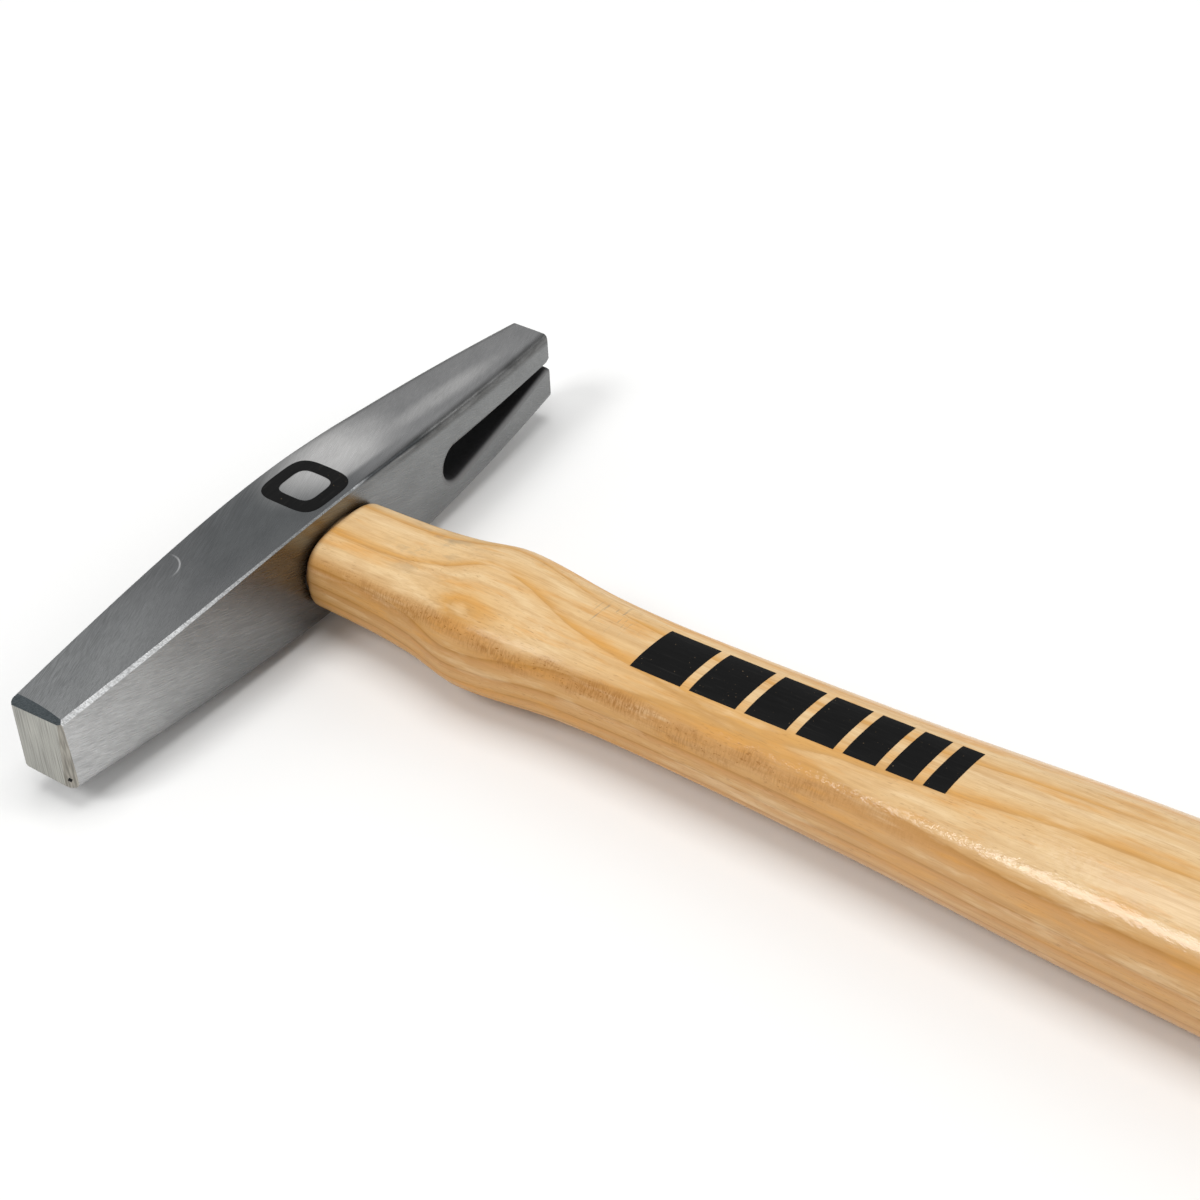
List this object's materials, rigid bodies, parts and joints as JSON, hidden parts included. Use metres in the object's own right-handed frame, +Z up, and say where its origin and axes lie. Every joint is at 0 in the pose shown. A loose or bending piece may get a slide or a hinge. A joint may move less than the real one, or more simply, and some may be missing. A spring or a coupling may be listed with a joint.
{
  "type": "magnetic tack hammer",
  "caption": "Light tack hammer: a forged steel head with a square striking face and a split magnetic end, wedged on an oval hardwood handle.",
  "frame": {"origin": "bottom centre of the hammer's box, with the hammer lying on one cheek", "axes": "+X from the striking face to the split magnetic end, +Y from the butt of the handle to the top of the head, +Z up through the upper cheek"},
  "size_m": [0.115, 0.2676, 0.0217],
  "materials": {
    "head_steel": "ground and belt-brushed forged steel, oiled",
    "handle_wood": "clear-lacquered straight-grained hardwood",
    "wedge_wood": "sawn hardwood end grain, flush cut",
    "wedge_steel": "plain stamped steel, hammered edge"
  },
  "bodies": {
    "root": {"head": "head_steel", "handle": "handle_wood", "wood_wedge": "wedge_wood", "steel_wedge": "wedge_steel"}
  },
  "joints": []
}
